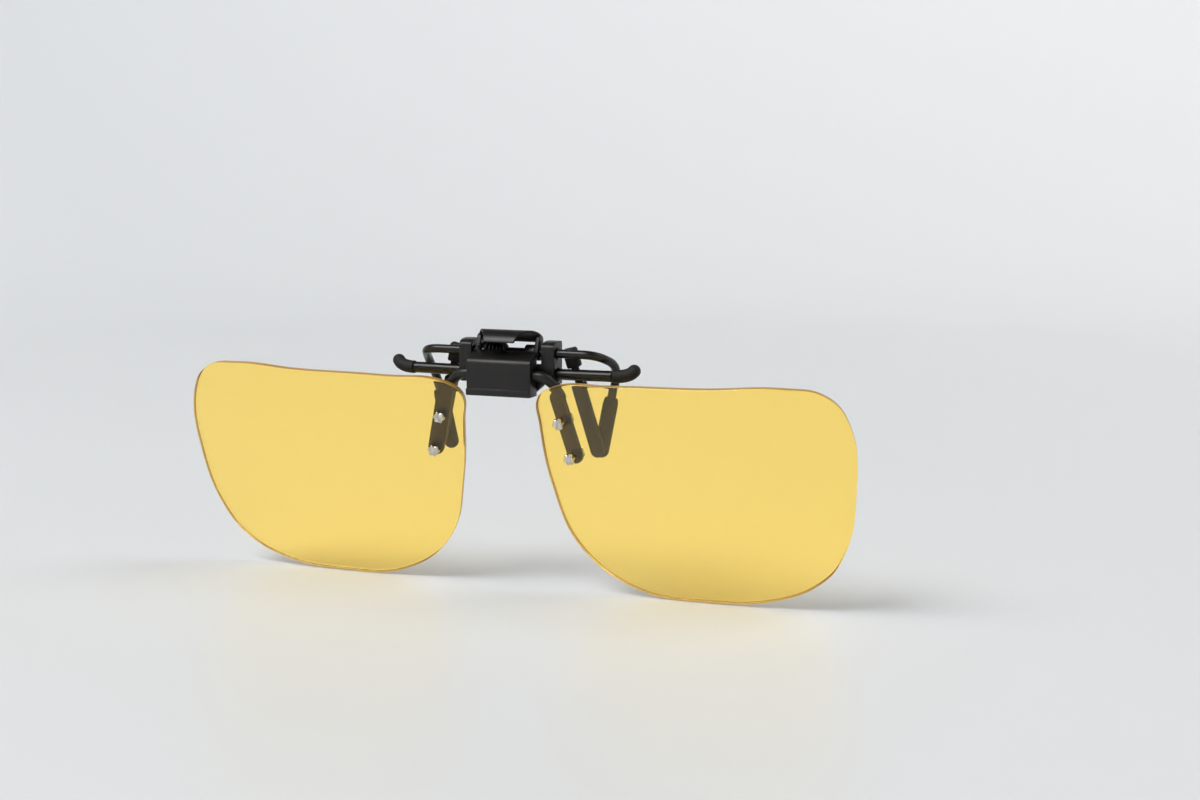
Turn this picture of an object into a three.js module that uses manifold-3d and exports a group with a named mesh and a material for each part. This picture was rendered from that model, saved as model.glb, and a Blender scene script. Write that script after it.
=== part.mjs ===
// Flip-up clip-on sunglasses: two yellow lenses on a hinged bar, carried by a spring clip.
// Millimetres, +Z up, front towards -Y. The origin is the middle of the clip's grip.

import * as THREE from 'three';
import { mergeVertices } from 'three/addons/utils/BufferGeometryUtils.js';
import Module from 'manifold-3d';

const wasm = await Module();
wasm.setup();

const { degToRad, lerp } = THREE.MathUtils;

// Clearances, and how far a cutting tool runs past the face that it cuts
const seat = 0.25;
const runningGap = 0.22;
const overrun = 1;
const weldLap = 0.2;

// Housing
const housingWidth = 12.0;
const housingFrontY = -10.7;
const housingDepth = 3.3;
const housingBottomZ = 8.7;
const housingBlockHeight = 1.6;
const housingEaveZ = 15.0;
const housingRidgeZ = 16.4;
const housingEdgeRadius = 0.9;
const housingWall = 0.55;
const housingSideWall = 0.8;
const lipHeight = 1.25;
const lipStep = 0.35;
const lipSlope = 0.1;
const lipChamfer = 0.2;

// Bracket and rivets
const bracketThickness = 1.0;
const bracketFoot = 9.8;
const bracketTaper = 1.7;
const earInnerX = 6.7;
const earWidth = 2.3;
const earCrown = 2.1;
const earShoulder = 0.95;
const earBack = 2.58;
const earRound = 0.7;
const earFlat = 1.3;
const earBottomZ = 10.6;
const earChamfer = 0.8;
const rivetX = 3.6;
const rivetRise = 0.9;
const rivetDiameter = 1.2;
const rivetHeadDiameter = 2.0;
const rivetHeadHeight = 0.6;
const rivetDepth = 1.7;

// Torsion spring
const springWire = 0.6;
const springRadius = 1.3;
const springPitch = 1.1;
const springStartAngle = degToRad(105);
const springTurns = 4 - 1 / 6;
const springLegFront = 2.4;
const springLegTab = 2.7;

// Pivot of the rear jaw: the spring's turns clear the housing, and the bracket's plate stops below them
const housingBackY = housingFrontY + housingDepth;
const bracketFrontY = housingBackY + seat;
const bracketBackY = bracketFrontY + bracketThickness;
const earOuterX = earInnerX + earWidth;
const springOuterRadius = springRadius + springWire / 2;
const pivotY = housingBackY + springOuterRadius + runningGap;
const pivotZ = 16.1;
const bracketTopZ = pivotZ - springOuterRadius - seat;

// Press tab: the middle of its arch is set forward of the shaft and above it
const tabSideGap = 0.7;
const tabSheet = 0.45;
const tabCheek = 0.8;
const tabKnuckle = 2.6;
const tabReveal = 0.05;
const tabFrontWidth = 5.3;
const tabShoulder = 0.38;
const archForward = 1.87;
const archLift = 1.45;
const archReach = 3.15;
const archRise = 2.6;
const archFrom = degToRad(8);
const archTo = degToRad(166);
const cheekHead = new THREE.Vector2(0.33, 2.05);
const cheekHeadRadius = 1.05;
const knuckleRadius = 1.4;

// Grip and front legs
const gripGap = 1.5;
const padThickness = 1.5;
const padWidth = 2.4;
const padBevel = 0.3;
const padTipZ = -2.2;
const padTipWall = 0.8;
const legWidth = 1.4;
const legThickness = 0.6;
const legSplay = degToRad(14.7);
const legStandoff = 2.9;
const legHorn = 4.15;
const capThickness = 1.4;
const capWidth = 2.6;
const capCorner = 0.5;
const capWall = 0.4;
const capCuff = 0.25;
const armCuff = 0.6;

// Rest arms: reaches outwards are from the pads
const armDiameter = 2.0;
const armZ = 12.4;
const armRootSetback = 0.6;
const armSocketDepth = 1.6;
const armBendReach = 4.05;
const armBendY = -4.3;
const armCornerReach = 6.55;
const armCornerY = -3.95;
const armEndReach = 7.3;
const armEndY = -3.6;
const armEndRise = 0.8;
const armPinDiameter = 1.5;
const armTipDiameter = 2.3;
const armTipNose = 0.3;
const armRootY = pivotY + armRootSetback;
const legCrossX = earOuterX + legStandoff;
const padX = legCrossX + Math.tan(legSplay) * armZ;
const armBend = new THREE.Vector3(padX + armBendReach, armBendY, armZ);
const armCorner = new THREE.Vector3(padX + armCornerReach, armCornerY, armZ);
const armEnd = new THREE.Vector3(padX + armEndReach, armEndY, armZ + armEndRise);

// Rear jaw: its pads close on the front pads at the grip
const wireDiameter = 1.55;
const wireBendRadius = 2.6;
const shoulderReach = 1.15;
const kneeReach = 3.3;
const kneeY = -0.3;
const kneeDrop = 2.2;
const rearPadDiameter = 2.7;
const rearPadTopZ = 9.2;
const rearPadSplay = 0.21;
const rearPadLean = 0.048;
const rearPadNose = 0.45;
const rearPadTaper = 1.2;
const rearPadRim = 0.15;
const rearPadY = gripGap / 2 + rearPadDiameter / 2;
const shoulder = new THREE.Vector3(padX + shoulderReach, pivotY, pivotZ);
const knee = new THREE.Vector3(padX + kneeReach, kneeY, pivotZ - kneeDrop);

// Flip bar
const flipSetback = 1.7;
const flipY = housingFrontY + flipSetback;
const flipZ = 12.4;
const lensTilt = degToRad(17.7);
const barDiameter = 1.8;
const barBendRadius = 1.0;
const barExit = 1.9;
const barSetback = 0.5;
const leafThickness = 0.25;
const leafWidth = 6.4;
const leafChord = 3.6;
const camSide = 1.44;
const camLength = leafWidth + 2 * seat;

// Lenses: places are from the middle of the face and from the hinge
const lensInnerX = 7.4;
const lensWidth = 55.5;
const lensTopZ = 1.3;
const lensHeight = 41.3;
const lensRadius = 118;
const lensThickness = 1.5;
const lensApexY = -6.5;
const lensApexAcross = 0.483;
const lensApexDown = 0.49;

// Lugs and screws that hold the lenses
const lugWidth = 2.9;
const lugThickness = 0.8;
const lugNeck = 4.0;
const lugGap = 0.45;
const neckLap = 0.4;
const neckRise = 0.8;
const screwInset = 4.83;
const screwDrop = 11.53;
const screwPitch = 6.5;
const screwLean = 0.28;
const screwDiameter = 1.2;
const screwTail = 0.2;
const screwHeadDiameter = 2.2;
const screwHeadHeight = 0.7;
const screwLobes = 6;
const lobeDepth = 0.12;
const nutAcrossFlats = 2.1;
const nutHeight = 0.7;

// One lens edge, seen from the front: shares of the width from the nose side, and of the height from the top
const lensEdge = [
  [0.045, 0.061], [0.245, 0.024], [0.568, 0.005], [0.802, 0], [0.919, 0.034], [0.984, 0.14],
  [1, 0.465], [0.948, 0.758], [0.879, 0.879], [0.737, 0.971], [0.505, 1], [0.276, 0.971],
  [0.101, 0.794], [0.027, 0.496], [0.002, 0.223], [0, 0.114],
];

const paint = { color: 0x1d1c1b, roughness: 0.42, metalness: 0.55 };
const wirePaint = { color: 0x151515, roughness: 0.28, metalness: 0.6 };
const rubber = { color: 0x202020, roughness: 0.75, metalness: 0 };
const lensTint = { color: 0xf0cd5a, roughness: 0.08, metalness: 0 };
const nickel = { color: 0xcfcac4, roughness: 0.25, metalness: 1 };
const springSteel = { color: 0x3a3937, roughness: 0.35, metalness: 0.9 };

const ex = new THREE.Vector3(1, 0, 0);
const ey = new THREE.Vector3(0, 1, 0);
const ez = new THREE.Vector3(0, 0, 1);
const alongX = new THREE.Matrix4().makeBasis(ey, ez, ex);
const alongY = new THREE.Matrix4().makeBasis(ez, ex, ey);
const sides = [[-1, 'left'], [1, 'right']];

const clipOn = new THREE.Group();
const flipFrame = new THREE.Group();
flipFrame.position.set(0, flipY, flipZ);
flipFrame.rotation.x = lensTilt;
clipOn.add(flipFrame);

function place(parent, name, geometry, finish) {
  const mesh = new THREE.Mesh(geometry, new THREE.MeshStandardMaterial(finish));
  mesh.name = name;
  parent.add(mesh);
  return mesh;
}

function toSolid(geometry) {
  const bare = geometry.clone();
  bare.deleteAttribute('normal');
  bare.deleteAttribute('uv');
  const merged = mergeVertices(bare, 1e-4);
  return new wasm.Manifold(new wasm.Mesh({
    numProp: 3,
    vertProperties: new Float32Array(merged.attributes.position.array),
    triVerts: new Uint32Array(merged.index.array),
  }));
}

function toGeometry(solid) {
  const mesh = solid.getMesh();
  const geometry = new THREE.BufferGeometry();
  geometry.setAttribute('position', new THREE.BufferAttribute(mesh.vertProperties, 3));
  geometry.setIndex(new THREE.BufferAttribute(mesh.triVerts, 1));
  geometry.computeVertexNormals();
  return geometry;
}

function join(first, ...rest) {
  return toGeometry(rest.reduce((sum, piece) => sum.add(toSolid(piece)), toSolid(first)));
}

function cut(body, ...tools) {
  return toGeometry(tools.reduce((left, tool) => left.subtract(toSolid(tool)), toSolid(body)));
}

function box(sizeX, sizeY, sizeZ, x, y, z) {
  return new THREE.BoxGeometry(sizeX, sizeY, sizeZ).translate(x, y, z);
}

function polygon(radius, count) {
  const points = [];
  for (let i = 0; i < count; i += 1) {
    const angle = (2 * Math.PI * (i + 0.5)) / count;
    points.push(new THREE.Vector2(radius * Math.cos(angle), radius * Math.sin(angle)));
  }
  return new THREE.Shape(points);
}

function extrude(shape, depth, options = {}) {
  return new THREE.ExtrudeGeometry(shape, { depth, bevelEnabled: false, curveSegments: 8, ...options });
}

// A profile drawn in y and z, drawn out along x between two stations
function prismX(shape, fromX, toX) {
  return extrude(shape, toX - fromX).applyMatrix4(alongX).translate(fromX, 0, 0);
}

// A profile drawn in z and x, drawn out along y between two stations
function prismY(shape, fromY, toY, options) {
  return extrude(shape, toY - fromY, options).applyMatrix4(alongY).translate(0, fromY, 0);
}

function rodX(radius, fromX, toX, y, z) {
  return prismX(polygon(radius, 16), fromX, toX).translate(0, y, z);
}

function rodY(radius, fromY, toY, x, z) {
  return prismY(polygon(radius, 12), fromY, toY).translate(x, 0, z);
}

function tube(path, radius, step, count = 10) {
  return new THREE.ExtrudeGeometry(polygon(radius, count), {
    steps: Math.ceil(path.getLength() / step),
    extrudePath: path,
    bevelEnabled: false,
  });
}

// Straight runs joined by rounded bends, as wire leaves a bending jig
function bentWire(corners, bendRadius) {
  const path = new THREE.CurvePath();
  let from = corners[0];
  for (let i = 1; i < corners.length - 1; i += 1) {
    const corner = corners[i];
    const back = corners[i - 1].clone().sub(corner).normalize();
    const on = corners[i + 1].clone().sub(corner).normalize();
    const start = corner.clone().addScaledVector(back, bendRadius);
    const end = corner.clone().addScaledVector(on, bendRadius);
    path.add(new THREE.LineCurve3(from, start));
    path.add(new THREE.QuadraticBezierCurve3(start, corner, end));
    from = end;
  }
  path.add(new THREE.LineCurve3(from, corners[corners.length - 1]));
  return path;
}

function mirrored(point, side) {
  return new THREE.Vector3(side * point.x, point.y, point.z);
}

// Lens surface, in the frame of the hinge
function lensPlace(across, down) {
  return new THREE.Vector2(lensInnerX + across * lensWidth, lensTopZ - down * lensHeight);
}

const lensApex = lensPlace(lensApexAcross, lensApexDown);
const lensCentre = new THREE.Vector3(lensApex.x, lensApexY + lensRadius, lensApex.y);

function lensFront(x, z) {
  const dx = x - lensCentre.x;
  const dz = z - lensCentre.z;
  return new THREE.Vector3(x, lensCentre.y - Math.sqrt(lensRadius ** 2 - dx * dx - dz * dz), z);
}

function lensNormal(point) {
  return point.clone().sub(lensCentre).normalize();
}

// Seat of one lug: origin on the lens front between its screws, y into the lens, z along the lug
function lugMatrix(side) {
  const origin = lensFront(lensInnerX + screwInset, lensTopZ - screwDrop);
  const inward = lensNormal(origin).negate();
  const along = new THREE.Vector3(-screwLean, 0, 1);
  along.addScaledVector(inward, -along.dot(inward)).normalize();
  const [point, depth, rise] = [origin, inward, along].map((vector) => mirrored(vector, side));
  return new THREE.Matrix4().makeBasis(depth.clone().cross(rise), depth, rise).setPosition(point);
}

const lugFrontY = lensThickness + lugGap;
const lugBackY = lugFrontY + lugThickness;
const screwHoleRadius = screwDiameter / 2 + runningGap;
const screwStations = [[screwPitch / 2, 'upper'], [-screwPitch / 2, 'lower']];

function screwHoles(side) {
  return screwStations.map(([along]) => (
    rodY(screwHoleRadius, -overrun, lugBackY + overrun, 0, along).applyMatrix4(lugMatrix(side))
  ));
}

// A shell between two spheres of one centre, trimmed to the lens edge
function lensBlank(side) {
  const ringCount = 6;
  const edgeCount = 64;
  const points = lensEdge.map(([across, down]) => {
    const spot = lensPlace(across, down);
    return new THREE.Vector3(spot.x, 0, spot.y);
  });
  const edge = new THREE.CatmullRomCurve3(points, true, 'centripetal').getSpacedPoints(edgeCount);
  edge.pop();
  if (side > 0) edge.reverse();
  const positions = [];
  const triangles = [];
  const pushPair = (x, z) => {
    const front = lensFront(x, z);
    const back = front.clone().addScaledVector(lensNormal(front), -lensThickness);
    positions.push(side * front.x, front.y, front.z, side * back.x, back.y, back.z);
  };
  pushPair(lensApex.x, lensApex.y);
  for (let ring = 1; ring <= ringCount; ring += 1) {
    const share = ring / ringCount;
    for (const point of edge) pushPair(lerp(lensApex.x, point.x, share), lerp(lensApex.y, point.z, share));
  }
  const front = (ring, i) => 2 * (1 + (ring - 1) * edgeCount + (i % edgeCount));
  const back = (ring, i) => front(ring, i) + 1;
  for (let i = 0; i < edgeCount; i += 1) {
    triangles.push(0, front(1, i), front(1, i + 1), 1, back(1, i + 1), back(1, i));
    for (let ring = 1; ring < ringCount; ring += 1) {
      triangles.push(front(ring, i), front(ring + 1, i), front(ring + 1, i + 1));
      triangles.push(front(ring, i), front(ring + 1, i + 1), front(ring, i + 1));
      triangles.push(back(ring, i), back(ring + 1, i + 1), back(ring + 1, i));
      triangles.push(back(ring, i), back(ring, i + 1), back(ring + 1, i + 1));
    }
    triangles.push(front(ringCount, i), back(ringCount, i), back(ringCount, i + 1));
    triangles.push(front(ringCount, i), back(ringCount, i + 1), front(ringCount, i + 1));
  }
  const geometry = new THREE.BufferGeometry();
  geometry.setAttribute('position', new THREE.Float32BufferAttribute(positions, 3));
  geometry.setIndex(triangles);
  return geometry;
}

// Flat lug with round ends, in its seat's frame, with its neck drawn up to the bar
function lugPlate() {
  const reach = screwPitch / 2;
  const half = lugWidth / 2;
  const outline = new THREE.Shape();
  outline.absarc(-reach, 0, half, Math.PI / 2, (3 * Math.PI) / 2, false);
  outline.lineTo(reach + lugNeck, -half);
  outline.absarc(reach + lugNeck, 0, half, -Math.PI / 2, Math.PI / 2, false);
  return prismY(outline, lugFrontY, lugBackY);
}

// Round bar with four flats in its middle and a flattened lug at each end
function flipBar() {
  const elbowX = housingWidth / 2 + barExit;
  const barY = lugFrontY + barSetback + barDiameter / 2;
  const neckZ = screwPitch / 2 + lugNeck;
  const halves = sides.map(([side]) => {
    const matrix = lugMatrix(side);
    const low = new THREE.Vector3(0, barY, neckZ - neckLap).applyMatrix4(matrix);
    const high = new THREE.Vector3(0, barY, neckZ + neckRise).applyMatrix4(matrix);
    const elbow = new THREE.Vector3(side * elbowX, 0, 0);
    const inner = new THREE.Vector3(side * (camLength / 2 - weldLap), 0, 0);
    const path = bentWire([low, high, elbow, inner], barBendRadius);
    return [lugPlate().applyMatrix4(matrix), tube(path, barDiameter / 2, 0.7, 12)];
  });
  const cam = box(camLength, camSide, camSide, 0, 0, 0).rotateX(-lensTilt);
  return cut(join(cam, ...halves.flat()), ...sides.flatMap(([side]) => screwHoles(side)));
}

function lobedHead() {
  const points = [];
  const samples = 6 * screwLobes;
  for (let i = 0; i < samples; i += 1) {
    const angle = (2 * Math.PI * i) / samples;
    const radius = screwHeadDiameter / 2 - lobeDepth * (1 - Math.cos(screwLobes * angle));
    points.push(new THREE.Vector2(radius * Math.cos(angle), radius * Math.sin(angle)));
  }
  return new THREE.Shape(points);
}

function screw() {
  const tip = lugBackY + seat + nutHeight + screwTail;
  const head = prismY(lobedHead(), -seat - screwHeadHeight, -seat);
  return join(head, rodY(screwDiameter / 2, -seat - weldLap, tip, 0, 0));
}

function nut() {
  const from = lugBackY + seat;
  const hexagon = prismY(polygon(nutAcrossFlats / Math.sqrt(3), 6), from, from + nutHeight);
  return cut(hexagon, rodY(screwHoleRadius, from - overrun, from + nutHeight + overrun, 0, 0));
}

for (const [side, word] of sides) {
  place(flipFrame, `lens_${word}`, cut(lensBlank(side), ...screwHoles(side)), lensTint);
  const lugSeat = new THREE.Group();
  lugMatrix(side).decompose(lugSeat.position, lugSeat.quaternion, lugSeat.scale);
  flipFrame.add(lugSeat);
  for (const [along, level] of screwStations) {
    place(lugSeat, `screw_${word}_${level}`, screw(), nickel).position.z = along;
    place(lugSeat, `nut_${word}_${level}`, nut(), nickel).position.z = along;
  }
}
place(flipFrame, 'lens_bar', flipBar(), paint);

// Housing: a folded cover with a sloping roof, open at the back and slotted for the bar
const rivetZ = housingBottomZ + rivetRise;
const rivetHoleRadius = rivetDiameter / 2 + runningGap;

function housingOutline(inset) {
  const front = housingFrontY + inset;
  const slope = Math.atan2(housingRidgeZ - housingEaveZ, housingDepth);
  const drop = inset / Math.cos(slope);
  const bend = housingEdgeRadius - inset;
  const eave = housingEaveZ - drop + inset * Math.tan(slope);
  const backY = housingBackY + overrun;
  const shape = new THREE.Shape();
  shape.moveTo(backY, housingBottomZ);
  shape.lineTo(backY, housingRidgeZ - drop + overrun * Math.tan(slope));
  shape.lineTo(front + bend * Math.cos(slope), eave + bend * Math.sin(slope));
  shape.quadraticCurveTo(front, eave, front, eave - bend);
  shape.lineTo(front, housingBottomZ);
  return shape;
}

function lipOutline() {
  const lipTop = housingBottomZ + lipHeight;
  const front = housingFrontY - lipStep;
  const root = housingFrontY + housingWall - lipSlope;
  const shape = new THREE.Shape();
  shape.moveTo(root, housingBottomZ);
  shape.lineTo(root, lipTop + lipSlope);
  shape.lineTo(front, lipTop - lipSlope);
  shape.lineTo(front, housingBottomZ + lipChamfer);
  shape.lineTo(front + lipChamfer, housingBottomZ);
  return shape;
}

function rivetHoles(fromY, toY) {
  return sides.map(([side]) => rodY(rivetHoleRadius, fromY, toY, side * rivetX, rivetZ));
}

function housing() {
  const half = housingWidth / 2;
  const inside = half - housingSideWall;
  const height = housingRidgeZ - housingBottomZ;
  const slotRadius = barDiameter / 2 + runningGap;
  const slotDepth = housingBackY + overrun - flipY;
  const body = join(prismX(housingOutline(0), -half, half), prismX(lipOutline(), -half, half));
  const behindY = housingBackY + overrun;
  const behind = box(2 * housingWidth, 2 * overrun, 4 * height, 0, behindY, housingBottomZ);
  const blockTopZ = housingBottomZ + housingBlockHeight;
  const block = box(housingWidth, 4 * housingDepth, 2 * height, 0, flipY, blockTopZ - height);
  const cavity = cut(prismX(housingOutline(housingWall), -inside, inside), block);
  const slot = join(
    rodX(slotRadius, -housingWidth, housingWidth, flipY, flipZ),
    box(2 * housingWidth, slotDepth, 2 * slotRadius, 0, flipY + slotDepth / 2, flipZ),
  );
  const holes = rivetHoles(housingBackY - rivetDepth - seat, housingBackY + overrun);
  return cut(body, behind, cavity, slot, ...holes);
}
place(clipOn, 'housing', housing(), paint);

function rivet(side) {
  const headFrom = bracketBackY + seat;
  const head = rodY(rivetHeadDiameter / 2, headFrom, headFrom + rivetHeadHeight, side * rivetX, rivetZ);
  const shankTo = headFrom + weldLap;
  return join(head, rodY(rivetDiameter / 2, housingBackY - rivetDepth, shankTo, side * rivetX, rivetZ));
}

// Bracket: a plate behind the housing with a bored ear at each end
const armSlope = (armBend.y - armRootY) / (armBend.x - earOuterX);

function armPoint(x) {
  return new THREE.Vector3(x, armRootY + armSlope * (x - earOuterX), armZ);
}

// Front of an ear upright, its crown falling forwards, its back corner rounded
function earOutline() {
  const topZ = pivotZ + earCrown;
  const backY = pivotY + earBack;
  const shape = new THREE.Shape();
  shape.moveTo(bracketFrontY, earBottomZ + earChamfer);
  shape.lineTo(bracketFrontY + earChamfer, earBottomZ);
  shape.lineTo(backY, earBottomZ);
  shape.lineTo(backY, topZ - earRound);
  shape.quadraticCurveTo(backY, topZ, backY - earRound, topZ);
  shape.lineTo(backY - earFlat, topZ);
  shape.quadraticCurveTo(bracketFrontY, topZ, bracketFrontY, pivotZ + earShoulder);
  return shape;
}

// Plate drawn in z and x, narrower at its lower edge
function plateOutline() {
  const half = earInnerX + weldLap;
  const foot = bracketFoot / 2;
  const taperZ = housingBottomZ + bracketTaper;
  const shape = new THREE.Shape();
  shape.moveTo(housingBottomZ, -foot);
  shape.lineTo(housingBottomZ, foot);
  shape.lineTo(taperZ, half);
  shape.lineTo(bracketTopZ, half);
  shape.lineTo(bracketTopZ, -half);
  shape.lineTo(taperZ, -half);
  return shape;
}

function bracket() {
  const plate = prismY(plateOutline(), bracketFrontY, bracketBackY);
  const ears = [prismX(earOutline(), -earOuterX, -earInnerX), prismX(earOutline(), earInnerX, earOuterX)];
  const shaftReach = earOuterX + overrun;
  const shaftHole = rodX(wireDiameter / 2 + runningGap, -shaftReach, shaftReach, pivotY, pivotZ);
  const sockets = sides.map(([side]) => {
    const from = mirrored(armPoint(earOuterX - armSocketDepth), side);
    const path = new THREE.LineCurve3(from, mirrored(armPoint(earOuterX + overrun), side));
    return tube(path, armDiameter / 2 + runningGap, 2 * armSocketDepth, 14);
  });
  const holes = rivetHoles(bracketFrontY - overrun, bracketBackY + overrun);
  return cut(join(plate, ...ears), shaftHole, ...sockets, ...holes);
}
place(clipOn, 'bracket', bracket(), paint);

// Leaf spring: a bowed strip between the bracket plate and the flats of the bar
function leafSpring() {
  const endY = bracketFrontY - seat;
  const crestY = flipY + camSide / 2 + seat;
  const half = leafChord / 2;
  const pull = 2 * (crestY + leafThickness - endY);
  const shape = new THREE.Shape();
  shape.moveTo(endY, flipZ - half);
  shape.quadraticCurveTo(endY + pull, flipZ, endY, flipZ + half);
  shape.lineTo(endY - leafThickness, flipZ + half);
  shape.quadraticCurveTo(endY + pull - leafThickness, flipZ, endY - leafThickness, flipZ - half);
  return prismX(shape, -leafWidth / 2, leafWidth / 2);
}
place(clipOn, 'leaf_spring', leafSpring(), springSteel);

// Front jaw: a rest arm each side, and a sleeved leg brazed behind it
const legCrossY = armPoint(legCrossX).y + armDiameter / 2 + seat + legThickness / 2;
const padCentreY = -gripGap / 2 - padThickness / 2;
const legLean = Math.atan2(padCentreY - legCrossY, armZ);
const cuffReach = armDiameter / 2 + armCuff;

// Distance along a leg from its crossing with the arm, for a height
function alongLeg(z) {
  return (z - armZ) / (Math.cos(legSplay) * Math.cos(legLean));
}

// A pad outline in z and x: its foot's corners rounded, its head square
function padOutline(width, fromZ, toZ, corner) {
  const half = width / 2;
  const shape = new THREE.Shape();
  shape.moveTo(toZ, half);
  shape.lineTo(fromZ + corner, half);
  shape.absarc(fromZ + corner, half - corner, corner, Math.PI / 2, Math.PI, false);
  shape.absarc(fromZ + corner, corner - half, corner, Math.PI, (3 * Math.PI) / 2, false);
  shape.lineTo(toZ, -half);
  return shape;
}

function softPad(width, thickness, fromZ, toZ, corner) {
  const outline = padOutline(width - 2 * padBevel, fromZ + padBevel, toZ - padBevel, corner - padBevel);
  const half = thickness / 2 - padBevel;
  return prismY(outline, -half, half, {
    bevelEnabled: true, bevelThickness: padBevel, bevelSize: padBevel, bevelSegments: 2,
  });
}

function legSlot(fromZ, toZ) {
  const width = legWidth + 2 * runningGap;
  const thickness = legThickness + 2 * runningGap;
  return box(width, thickness, toZ - fromZ, 0, 0, (fromZ + toZ) / 2);
}

for (const [side, word] of sides) {
  place(clipOn, `rivet_${word}`, rivet(side), paint);

  const root = mirrored(armPoint(earOuterX - armSocketDepth + seat), side);
  const [bend, corner, end] = [armBend, armCorner, armEnd].map((point) => mirrored(point, side));
  const hook = new THREE.QuadraticBezierCurve3(bend, corner, end);
  const step = mirrored(armPoint(armBend.x - seat), side);
  const pin = new THREE.CurvePath();
  pin.add(new THREE.LineCurve3(mirrored(armPoint(armBend.x - armPinDiameter), side), bend));
  pin.add(hook);
  const rod = tube(new THREE.LineCurve3(root, step), armDiameter / 2, 2);
  place(clipOn, `rest_arm_${word}`, join(rod, tube(pin, armPinDiameter / 2, 0.7)), wirePaint);

  const nose = end.clone().addScaledVector(hook.getTangent(1), armTipNose);
  const tipPath = new THREE.CurvePath();
  tipPath.add(hook);
  tipPath.add(new THREE.LineCurve3(end, nose));
  const dome = new THREE.SphereGeometry(armTipDiameter / 2, 14, 10).translate(...nose.toArray());
  const skin = join(tube(tipPath, armTipDiameter / 2, 0.8, 14), dome);
  const bore = tube(pin, armPinDiameter / 2 + runningGap, 0.6);
  place(clipOn, `rest_tip_${word}`, cut(skin, bore), rubber);

  const leg = new THREE.Group();
  leg.position.set(side * legCrossX, legCrossY, armZ);
  leg.rotation.set(legLean, -side * legSplay, 0, 'XYZ');
  clipOn.add(leg);
  const padFrom = alongLeg(padTipZ);
  const stripFrom = padFrom + padTipWall;
  const stripHeight = legHorn - stripFrom;
  const strip = box(legWidth, legThickness, stripHeight, 0, 0, (legHorn + stripFrom) / 2);
  place(leg, `front_leg_${word}`, strip, paint);

  const sleeve = softPad(padWidth, padThickness, padFrom, -cuffReach, padWidth / 2);
  const sleeveSlot = legSlot(stripFrom - seat, overrun - cuffReach);
  place(leg, `front_pad_${word}`, cut(sleeve, sleeveSlot), rubber);

  const capTop = legHorn + seat + capWall;
  const capFrom = armDiameter / 2 + capCuff;
  const cap = softPad(capWidth, capThickness, -capTop, -capFrom, capCorner).rotateY(Math.PI);
  place(leg, `leg_cap_${word}`, cut(cap, legSlot(capFrom - overrun, legHorn + seat)), rubber);
}

// Rear jaw: one bent wire, its middle the pivot shaft and its ends the rear prongs
function rearPadPoint(z) {
  return new THREE.Vector3(padX + rearPadSplay * z, rearPadY - rearPadLean * z, z);
}

const padTop = rearPadPoint(rearPadTopZ);
const padFoot = rearPadPoint(padTipZ);
const wireCorners = [
  ...[padFoot, padTop, knee, shoulder].map((point) => mirrored(point, -1)),
  ...[shoulder, knee, padTop, padFoot],
];
place(clipOn, 'jaw_wire', tube(bentWire(wireCorners, wireBendRadius), wireDiameter / 2, 1.1), wirePaint);

// Rubber sleeve on one prong, turned about the prong's axis, closed and rounded at the foot
function rearPad() {
  const outer = rearPadDiameter / 2;
  const bore = wireDiameter / 2 + runningGap;
  const length = padTop.distanceTo(padFoot) - wireBendRadius / 2;
  const foot = -seat - rearPadNose;
  const profile = new THREE.Path();
  profile.moveTo(0, foot);
  profile.quadraticCurveTo(outer, foot, outer, foot + outer);
  profile.lineTo(outer, length - rearPadTaper);
  profile.lineTo(bore + rearPadRim, length);
  profile.lineTo(bore, length);
  profile.lineTo(bore, -seat);
  profile.lineTo(0, -seat);
  return new THREE.LatheGeometry(profile.getPoints(5), 16);
}

for (const [side, word] of sides) {
  const foot = mirrored(padFoot, side);
  const pad = place(clipOn, `rear_pad_${word}`, rearPad(), rubber);
  pad.position.copy(foot);
  pad.quaternion.setFromUnitVectors(ey, mirrored(padTop, side).sub(foot).normalize());
}

// Press tab: an arched thumb plate, narrower towards its front edge, on two cheeks that grip the shaft
const tabHalfWidth = earInnerX - tabSideGap;
const tabInsideX = tabHalfWidth - tabCheek;
const archY = pivotY - archForward;
const archZ = pivotZ + archLift;

function archOutline() {
  const arch = new THREE.Shape();
  arch.absellipse(archY, archZ, archReach, archRise, archFrom, archTo, false);
  arch.absellipse(archY, archZ, archReach - tabSheet, archRise - tabSheet, archTo, archFrom, true);
  return arch;
}

// What is trimmed off one side of the arch, seen from above
function tabTrim(side) {
  const frontY = archY - archReach;
  const shoulderY = pivotY + tabShoulder;
  const run = (tabHalfWidth - tabFrontWidth / 2) / (shoulderY - frontY);
  const shape = new THREE.Shape();
  shape.moveTo(side * tabHalfWidth, shoulderY);
  shape.lineTo(side * (tabFrontWidth / 2 - run * overrun), frontY - overrun);
  shape.lineTo(side * (tabHalfWidth + overrun), frontY - overrun);
  shape.lineTo(side * (tabHalfWidth + overrun), shoulderY);
  return extrude(shape, 2 * archRise + 2 * overrun).translate(0, 0, archZ - archRise - overrun);
}

function cheekOutline() {
  const lean = cheekHead.angle();
  const cheek = new THREE.Shape();
  cheek.absarc(pivotY, pivotZ, knuckleRadius, lean + Math.PI / 2, lean + 1.5 * Math.PI, false);
  const [headY, headZ] = [pivotY + cheekHead.x, pivotZ + cheekHead.y];
  cheek.absarc(headY, headZ, cheekHeadRadius, lean - Math.PI / 2, lean + Math.PI / 2, false);
  return cheek;
}

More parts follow.
